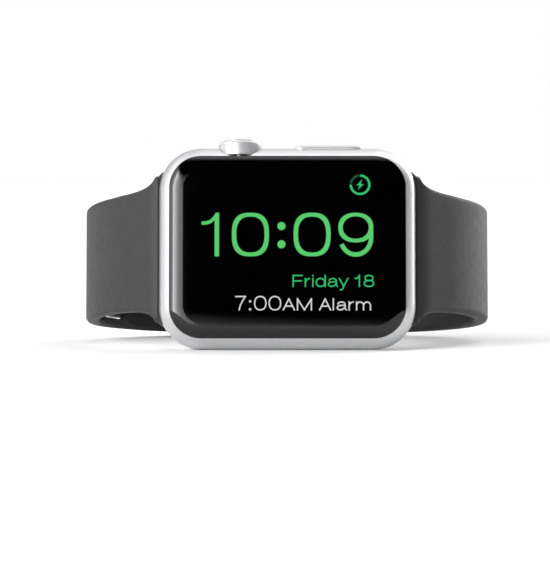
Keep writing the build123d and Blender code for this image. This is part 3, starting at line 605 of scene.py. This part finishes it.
def flare(distance):
    """How much wider a strap's half width is near the case, at a distance along it from its lug."""
    x = abs(loop_frame(distance)[0].x)
    out = max(x, LUG_END_X) - LUG_END_X
    grown = sum(amount * math.exp(-out / reach) for amount, reach in FLARE_TERMS)
    return grown * (1 - ease(distance, *FLARE_FADE))


def short_half_width(distance):
    return HALF_WIDTH + flare(distance)


def long_half_width(distance):
    if distance > HALF_LENGTH:
        return HALF_WIDTH + flare(2 * HALF_LENGTH - distance)
    x = loop_frame(distance)[0].x
    return HALF_WIDTH - (HALF_WIDTH - TAIL_HALF_WIDTH) * ease(-x, *TAIL_NARROWS)


def section(half_width, half_thick):
    """A rounded rectangle as (outward, z) points, the same number whatever its size."""
    points = []
    edge = min(EDGE, half_thick * 0.97)
    corners = (
        (half_thick - edge, half_width - edge, 0),
        (-(half_thick - edge), half_width - edge, 90),
        (-(half_thick - edge), -(half_width - edge), 180),
        (half_thick - edge, -(half_width - edge), 270),
    )
    corner_steps = 8
    face_steps = (2, 22, 2, 22)
    for (n, z, start), steps in zip(corners, face_steps):
        for i in range(corner_steps + 1):
            angle = math.radians(start + 90 * i / corner_steps)
            points.append((n + edge * math.cos(angle), z + edge * math.sin(angle)))
        last = points[-1]
        following = corners[(start // 90 + 1) % 4]
        angle = math.radians(following[2])
        target = (following[0] + edge * math.cos(angle), following[1] + edge * math.sin(angle))
        for i in range(1, steps):
            share = i / steps
            points.append((last[0] + (target[0] - last[0]) * share, last[1] + (target[1] - last[1]) * share))
    return points


STATION_GAP = 0.55  # between the sections of a strap, which are closer together round its free end
END_STEPS = 26
LUG_TRIM = 3  # the length of strap beside the lug that stops flat at LUG_END_X


def round_lost(radius, left):
    """How much a rounded end of this radius takes off a side, at a distance from its tip."""
    if left >= radius:
        return 0
    return radius - math.sqrt(max(0, radius ** 2 - (radius - left) ** 2))


def strap_mesh(lug_at, end_at, offset_at, thickness_at, half_width_at):
    """A strap lofted along the loop from its lug to its rounded free end."""
    bm = bmesh.new()
    direction = 1 if end_at > lug_at else -1
    length = abs(end_at - lug_at)
    stations = [i * STATION_GAP for i in range(int((length - END_CORNER) / STATION_GAP) + 1)]
    stations += [
        length - END_CORNER * (1 - math.sin(math.pi / 2 * i / END_STEPS)) for i in range(END_STEPS + 1)
    ]
    stations = sorted(set(round(station, 4) for station in stations))
    rings = []
    for station in stations:
        distance = lug_at + direction * station
        left = length - station
        point, outward = loop_frame(distance)
        half_width = half_width_at(distance) - round_lost(END_CORNER, left) - round_lost(EDGE, left)
        half_thick = thickness_at(distance) / 2 - round_lost(EDGE, left)
        ring = []
        for n, z in section(half_width, half_thick):
            place = point + outward * (offset_at(distance) + n)
            place.z = z
            if station < LUG_TRIM:
                place.x = math.copysign(max(abs(place.x), LUG_END_X), place.x)
            ring.append(bm.verts.new(place))
        rings.append(ring)
    for ring_a, ring_b in zip(rings, rings[1:]):
        join_rings(bm, ring_a, ring_b)
    bm.faces.new(rings[0])
    bm.faces.new(rings[-1])
    bmesh.ops.recalc_face_normals(bm, faces=bm.faces)
    return bm


CUTTER_STEPS = 10  # round each corner of a plug


def cutter(distance, offset, half_thick, half_length, half_width, corner, rim, beyond=1.5):
    """A rounded oblong plug through a strap. Its ends widen over the rim's radius, to leave rounded
    edges, and go on widening for a distance beyond the strap's faces."""
    bm = bmesh.new()
    point, outward = loop_frame(distance)
    along = outward.cross(Vector((0, 0, 1)))
    levels = [(-half_thick - beyond, rim + beyond)]
    for degrees in range(0, 91, 18):
        angle = math.radians(degrees)
        levels.append((-half_thick + rim * (1 - math.cos(angle)), rim * (1 - math.sin(angle))))
    levels += [(-n, grow) for n, grow in reversed(levels[1:])]
    levels.append((half_thick + beyond, rim + beyond))
    rings = []
    for n, grow in levels:
        ring = []
        radius = corner + grow
        for cx, cz, start in (
            (half_length - corner, half_width - corner, 0),
            (-(half_length - corner), half_width - corner, 90),
            (-(half_length - corner), -(half_width - corner), 180),
            (half_length - corner, -(half_width - corner), 270),
        ):
            for i in range(CUTTER_STEPS + 1):
                angle = math.radians(start + 90 * i / CUTTER_STEPS)
                place = point + outward * (offset + n) + along * (cx + radius * math.cos(angle))
                place.z = cz + radius * math.sin(angle)
                ring.append(bm.verts.new(place))
        rings.append(ring)
    for ring_a, ring_b in zip(rings, rings[1:]):
        join_rings(bm, ring_a, ring_b)
    bm.faces.new(rings[0])
    bm.faces.new(rings[-1])
    bmesh.ops.remove_doubles(bm, verts=bm.verts, dist=0.0005)
    bmesh.ops.recalc_face_normals(bm, faces=bm.faces)
    return bm


def cut(name, bm, cutters):
    """The strap with the plugs cut out of it, as a bmesh."""
    scene = bpy.context.scene
    objects = []
    for number, piece in enumerate([bm, *cutters]):
        mesh = bpy.data.meshes.new(f"{name}_{number}")
        piece.to_mesh(mesh)
        piece.free()
        objects.append(bpy.data.objects.new(f"{name}_{number}", mesh))
        scene.collection.objects.link(objects[-1])
    plugs = bpy.data.collections.new(name + "_plugs")
    for plug in objects[1:]:
        plugs.objects.link(plug)
    modifier = objects[0].modifiers.new("holes", "BOOLEAN")
    modifier.operand_type = "COLLECTION"
    modifier.collection = plugs
    modifier.solver = "EXACT"
    bpy.context.view_layer.update()
    result = bmesh.new()
    result.from_object(objects[0], bpy.context.evaluated_depsgraph_get())
    for piece in objects:
        bpy.data.objects.remove(piece)
    bpy.data.collections.remove(plugs)
    return result


def tuck_slot_plug():
    """The short strap's slot, through which the tail goes inside."""
    at = (CROSS_START + CROSS_END) / 2
    return cutter(at, short_offset(at), short_thickness(at) / 2, 5.1, 8.1, 1.2, rim=0.3, beyond=3)


def stud_plug():
    """The hole that the closure stud's neck fills."""
    return cutter(STUD_AT, short_offset(STUD_AT), OVERLAP_THICK / 2, 1.15, 1.15, 1.14, rim=0.0)


def washer_plug():
    """The seat that the stud's washer lies in, open towards the wrist."""
    middle = short_offset(STUD_AT) - OVERLAP_THICK / 2 + (WASHER_SEAT - SEAT_OPEN) / 2
    half_thick = (WASHER_SEAT + SEAT_OPEN) / 2
    return cutter(
        STUD_AT, middle, half_thick, WASHER_RADIUS, WASHER_RADIUS, WASHER_RADIUS - 0.01, rim=0.0, beyond=0
    )


def hole_plug(number):
    """One of the long strap's adjustment holes, an oval along the strap."""
    at = STUD_AT + (HOLES_PAST_STUD - number) * HOLE_PITCH
    return cutter(at, long_offset(at), long_thickness(at) / 2, 2.1, 1.3, 1.29, rim=0.25, beyond=3)


short_mesh = strap_mesh(0, SHORT_LENGTH, short_offset, short_thickness, short_half_width)
short_bm = cut("short", short_mesh, [tuck_slot_plug(), stud_plug(), washer_plug()])
short_strap = add_object("band_short_strap", short_bm, "band", MATERIALS["band_rubber"], 50)
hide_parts("strap_short")

long_mesh = strap_mesh(2 * HALF_LENGTH, TAIL_END_AT, long_offset, long_thickness, long_half_width)
long_bm = cut("long", long_mesh, [hole_plug(number) for number in range(HOLE_COUNT)])
long_strap = add_object("band_long_strap", long_bm, "band", MATERIALS["band_rubber"], 50)
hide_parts("strap_long")


# ---------------------------------------------------------------- stage, camera and light
CAMERA_DISTANCE = 600 * MM
FACE_TILT = math.radians(5.6)  # of the screen, back from the line of sight
SENSOR_WIDTH = 36  # in millimetres, as the focal length is
LENS_SHARE = 0.3795  # focal length over distance
CASE_MIDDLE = UPRIGHT @ Vector((0, -0.2, 0))
AIM_LEFT = 2.06 * MM  # where the camera aims, from the case's middle
AIM_BELOW = 6.12 * MM
CAMERA_ELEVATION = math.asin(front_axis.z) - FACE_TILT
camera_data = bpy.data.cameras.new("camera")
camera_data.sensor_width = SENSOR_WIDTH
camera_data.lens = CAMERA_DISTANCE / MM * LENS_SHARE
camera_data.clip_start = 0.01
camera_data.clip_end = 20
camera = bpy.data.objects.new("camera", camera_data)
back = Vector((0, -math.cos(CAMERA_ELEVATION), math.sin(CAMERA_ELEVATION)))
camera_up = Vector((0, math.sin(CAMERA_ELEVATION), math.cos(CAMERA_ELEVATION)))
aim = CASE_MIDDLE - Vector((AIM_LEFT, 0, 0)) - camera_up * AIM_BELOW
camera.location = aim + back * CAMERA_DISTANCE
camera.rotation_mode = "QUATERNION"
camera.rotation_quaternion = (-back).to_track_quat("-Z", "Y")
bpy.context.scene.collection.objects.link(camera)
bpy.context.scene.camera = camera

FLOOR_REACH = 6.0
FLOOR_DARK, FLOOR_LIGHT = (0.92, 0.92, 0.92), (0.94, 0.94, 0.94)
floor_corners = [(x * FLOOR_REACH, y * FLOOR_REACH, 0) for x, y in ((-1, -1), (1, -1), (1, 1), (-1, 1))]
floor_mesh = bpy.data.meshes.new("floor")
floor_mesh.from_pydata(floor_corners, [], [(0, 1, 2, 3)])
floor = bpy.data.objects.new("floor", floor_mesh)
floor_material, floor_tree, floor_shader = new_material("floor_pale")
floor_shader.inputs["Roughness"].default_value = 0.7
floor_shader.inputs["Specular IOR Level"].default_value = 0.1
floor_shader.inputs["Emission Color"].default_value = (1, 1, 1, 1)
floor_shader.inputs["Emission Strength"].default_value = 0.05
floor_colour = tint(floor_tree, noise(floor_tree, 2.0), FLOOR_DARK, FLOOR_LIGHT)
floor_tree.links.new(floor_colour, floor_shader.inputs["Base Color"])
floor_mesh.materials.append(floor_material)
bpy.context.scene.collection.objects.link(floor)

# How bright the studio is round the vertical: angle from the front, left side positive, and strength.
# The front is dark, so that the screen stays black. A soft light stands at the front left, brightest at
# 48 degrees, another at the back right, and pale walls close the left side and the back.
STUDIO = (
    (-180, 0.9), (-158, 1.0), (-148, 3.4), (-126, 3.4), (-114, 0.6), (-80, 0.5), (-66, 0.0), (2, 0.0),
    (3, 2.4), (13, 3.6), (19, 4.2), (24, 5.0), (28, 6.3), (33, 8.0), (38, 10.2), (44, 13.3), (48, 16.0),
    (52, 7.0), (58, 3.6), (64, 3.0), (75, 2.0), (95, 1.5), (120, 0.9), (150, 0.55), (180, 0.6),
)  # fmt: skip
STUDIO_PEAK = 16.0
TOP_LIGHT = 1.7  # straight overhead, fading out between two elevations
TOP_FROM, TOP_FULL = 60, 80
HIGH_LIGHT = 0.45  # high up at the sides and the back
HIGH_FROM, HIGH_FULL = 30, 45
BOX_TOP, BOX_TOP_FADE = 8, 18  # elevations between which the front left light fades out, at the front
BOX_BOTTOM_FADE, BOX_BOTTOM = -6, 4
BOX_WIDENING = 0.5  # how much further up and down it reaches for each degree to the left
BEHIND_LEFT = 75, 95  # angles between which the walls, of full height, take over on either side
BEHIND_RIGHT = -70, -90


def studio_world():
    """Light from all round by direction, with a plain white background for the camera itself."""
    world = bpy.data.worlds.new("studio")
    bpy.context.scene.world = world
    world.use_nodes = True
    tree = world.node_tree
    nodes, links = tree.nodes, tree.links

    def math_node(operation, first, second=None):
        node = nodes.new("ShaderNodeMath")
        node.operation = operation
        for socket, value in zip(node.inputs, (first, second)):
            if isinstance(value, (int, float)):
                socket.default_value = value
            elif value is not None:
                links.new(value, socket)
        return node.outputs[0]

    def step(value, start, end, low=0.0, high=1.0):
        node = nodes.new("ShaderNodeMapRange")
        node.interpolation_type = "SMOOTHSTEP"
        links.new(value, node.inputs["Value"])
        for name, number in (("From Min", start), ("From Max", end), ("To Min", low), ("To Max", high)):
            node.inputs[name].default_value = number
        return node.outputs["Result"]

    where = nodes.new("ShaderNodeTexCoord")
    parts = nodes.new("ShaderNodeSeparateXYZ")
    links.new(where.outputs["Generated"], parts.inputs[0])
    leftward = math_node("MULTIPLY", parts.outputs["X"], -1)
    frontward = math_node("MULTIPLY", parts.outputs["Y"], -1)
    turn = math_node("MULTIPLY", math_node("ARCTAN2", leftward, frontward), 180 / math.pi)
    rise = math_node("MULTIPLY", math_node("ARCSINE", parts.outputs["Z"]), 180 / math.pi)

    around = nodes.new("ShaderNodeValToRGB")
    stops = around.color_ramp.elements
    while len(stops) < len(STUDIO):
        stops.new(1.0)
    for stop, (angle, strength) in zip(stops, STUDIO):
        stop.position = (angle + 180) / 360
        level = strength / STUDIO_PEAK
        stop.color = (level, level, level, 1)
    share = math_node("DIVIDE", math_node("ADD", turn, 180), 360)
    links.new(share, around.inputs["Fac"])
    ring = math_node("MULTIPLY", around.outputs["Color"], STUDIO_PEAK)
    behind = math_node("MAXIMUM", step(turn, *BEHIND_LEFT), step(turn, *BEHIND_RIGHT))
    widening = math_node("MULTIPLY", turn, BOX_WIDENING)
    box_top = step(math_node("SUBTRACT", rise, widening), BOX_TOP_FADE, BOX_TOP)
    box_bottom = step(math_node("ADD", rise, widening), BOX_BOTTOM_FADE, BOX_BOTTOM)
    box_height = math_node("MULTIPLY", box_bottom, box_top)
    window = math_node("MAXIMUM", box_height, behind)
    high = math_node("MULTIPLY", behind, step(rise, HIGH_FROM, HIGH_FULL, 0.0, HIGH_LIGHT))
    total = math_node("ADD", math_node("MULTIPLY", ring, window), high)
    total = math_node("MAXIMUM", total, step(rise, TOP_FROM, TOP_FULL, 0.0, TOP_LIGHT))

    path = nodes.new("ShaderNodeLightPath")
    background = nodes["Background"]
    choose = nodes.new("ShaderNodeMix")
    choose.data_type = "FLOAT"
    links.new(path.outputs["Is Camera Ray"], choose.inputs["Factor"])
    links.new(total, choose.inputs["A"])
    choose.inputs["B"].default_value = 1.0
    links.new(choose.outputs["Result"], background.inputs["Strength"])
    background.inputs["Color"].default_value = (1, 1, 1, 1)


studio_world()
bpy.context.scene.view_settings.view_transform = "Standard"
